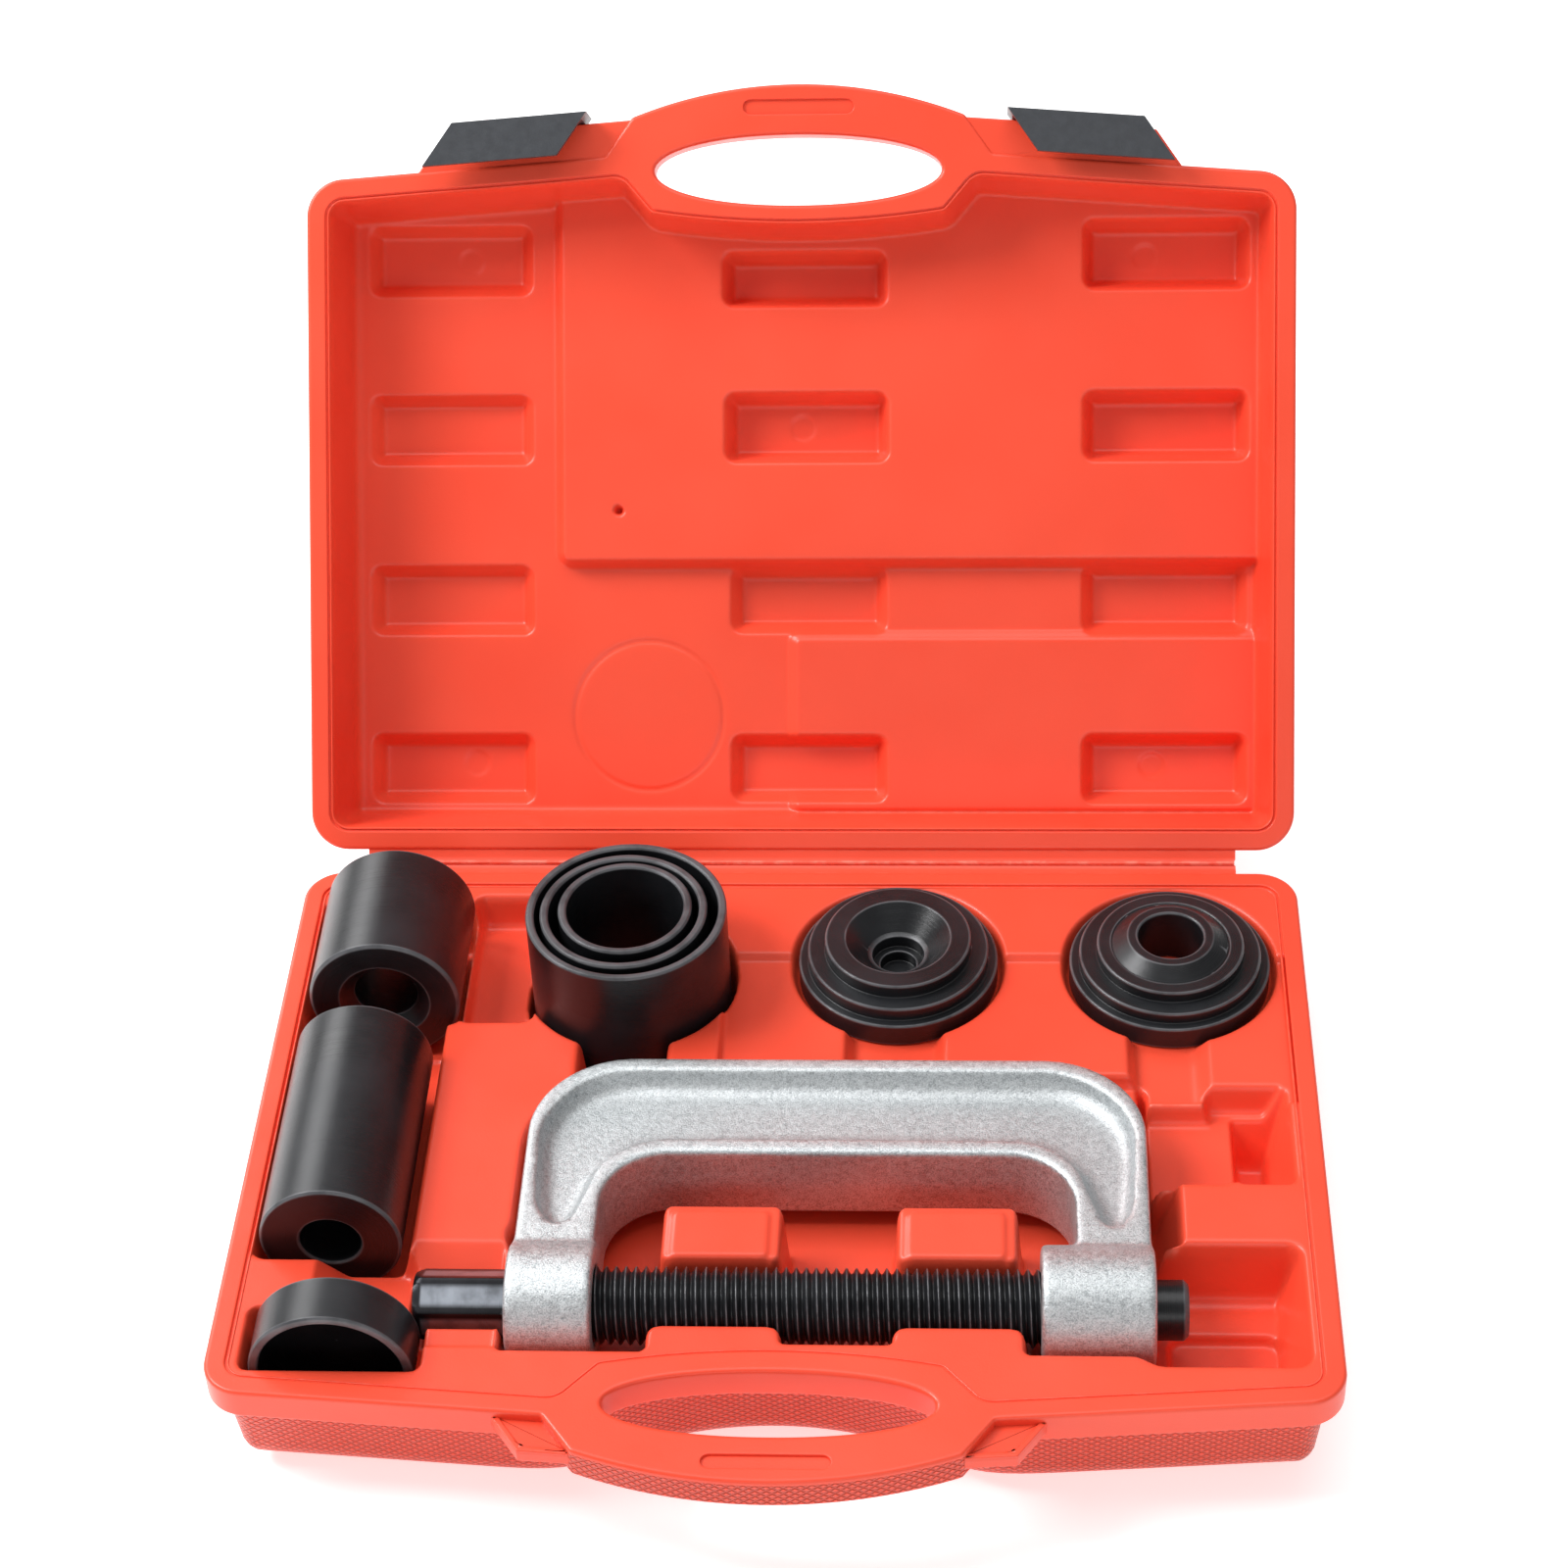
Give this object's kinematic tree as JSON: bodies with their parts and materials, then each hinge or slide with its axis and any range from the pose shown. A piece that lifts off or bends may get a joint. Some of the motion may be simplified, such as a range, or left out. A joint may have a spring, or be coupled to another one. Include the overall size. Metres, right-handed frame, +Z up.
{
  "type": "ball joint press kit",
  "caption": "Screw press with a cast C-frame, receiving tubes, sleeves and stepped adapter discs, stored in an open moulded carrying case with a hinged lid and sliding latches.",
  "frame": {"origin": "centre of the case's flat bottom, half way between the sides and 134 mm in front of the hinge line", "axes": "+Z up, +X to the right along the hinge, +Y towards the hinge; the handle is at -Y"},
  "size_m": [0.39, 0.5053, 0.292],
  "materials": {
    "case_plastic": "blow-moulded orange-red polyethylene, satin",
    "tray_plastic": "blow-moulded orange-red polyethylene, satin",
    "latch_plastic": "black moulded plastic, satin",
    "cast_frame": "as-cast grain under bright silver paint",
    "black_oxide_steel": "turned steel, black oxide, lightly oiled",
    "spring_steel": "bright spring wire"
  },
  "bodies": {
    "case_base": {"base_outer_shell": "case_plastic", "base_tray": "tray_plastic", "living_hinge_strip": "case_plastic"},
    "lid": {"lid_outer_shell": "case_plastic", "lid_inner_panel": "tray_plastic"},
    "latch_left": {"latch_left": "latch_plastic"},
    "latch_right": {"latch_right": "latch_plastic"},
    "c_frame": {"c_frame": "cast_frame"},
    "screw_travel": {"thrust_tip": "black_oxide_steel", "tip_snap_ring": "spring_steel"},
    "screw": {"forcing_screw": "black_oxide_steel"},
    "tube_large": {"receiving_tube_large": "black_oxide_steel"},
    "tube_medium": {"receiving_tube_medium": "black_oxide_steel"},
    "tube_small": {"receiving_tube_small": "black_oxide_steel"},
    "disc_concave": {"adapter_disc_concave": "black_oxide_steel"},
    "disc_conical": {"adapter_disc_conical": "black_oxide_steel"},
    "sleeve_large": {"ball_joint_sleeve_large": "black_oxide_steel"},
    "sleeve_long": {"installing_sleeve_long": "black_oxide_steel"},
    "cup": {"receiving_cup_short": "black_oxide_steel"}
  },
  "joints": [
    {"name": "lid_hinge", "type": "hinge", "parent": "case_base", "child": "lid", "pos_m": [0, 0.134, 0.0503], "axis": [-1, 0, 0], "range_deg": [-127.9, 0]},
    {"name": "latch_left_slide", "type": "slide", "parent": "lid", "child": "latch_left", "axis": [0.9972, 0.0459, 0.059], "range_m": [0, 0.0165]},
    {"name": "latch_right_slide", "type": "slide", "parent": "lid", "child": "latch_right", "axis": [-0.9972, 0.0459, 0.059], "range_m": [0, 0.0165]},
    {"name": "c_frame_lift", "type": "slide", "parent": "case_base", "child": "c_frame", "axis": [0, 0, 1], "range_m": [0, 0.12]},
    {"name": "screw_travel_slide", "type": "slide", "parent": "c_frame", "child": "screw_travel", "axis": [1, 0, 0], "range_m": [-0.00176, 0.01226]},
    {"name": "screw_spin", "type": "hinge", "parent": "screw_travel", "child": "screw", "pos_m": [0, -0.0905, 0.043], "axis": [1, 0, 0], "range_deg": [-180, 1260]},
    {"name": "tube_large_lift", "type": "slide", "parent": "case_base", "child": "tube_large", "axis": [0, 0, 1], "range_m": [0, 0.12]},
    {"name": "tube_medium_lift", "type": "slide", "parent": "case_base", "child": "tube_medium", "axis": [0, 0, 1], "range_m": [0, 0.12]},
    {"name": "tube_small_lift", "type": "slide", "parent": "case_base", "child": "tube_small", "axis": [0, 0, 1], "range_m": [0, 0.12]},
    {"name": "disc_concave_lift", "type": "slide", "parent": "case_base", "child": "disc_concave", "axis": [0, 0, 1], "range_m": [0, 0.12]},
    {"name": "disc_conical_lift", "type": "slide", "parent": "case_base", "child": "disc_conical", "axis": [0, 0, 1], "range_m": [0, 0.12]},
    {"name": "sleeve_large_lift", "type": "slide", "parent": "case_base", "child": "sleeve_large", "axis": [0, 0, 1], "range_m": [0, 0.12]},
    {"name": "sleeve_long_lift", "type": "slide", "parent": "case_base", "child": "sleeve_long", "axis": [0, 0, 1], "range_m": [0, 0.12]},
    {"name": "cup_lift", "type": "slide", "parent": "case_base", "child": "cup", "axis": [0, 0, 1], "range_m": [0, 0.12]}
  ],
  "couplings": [
    {"joint": "screw_travel_slide", "follows": "screw_spin", "m_per_rad": 0.00055704}
  ]
}
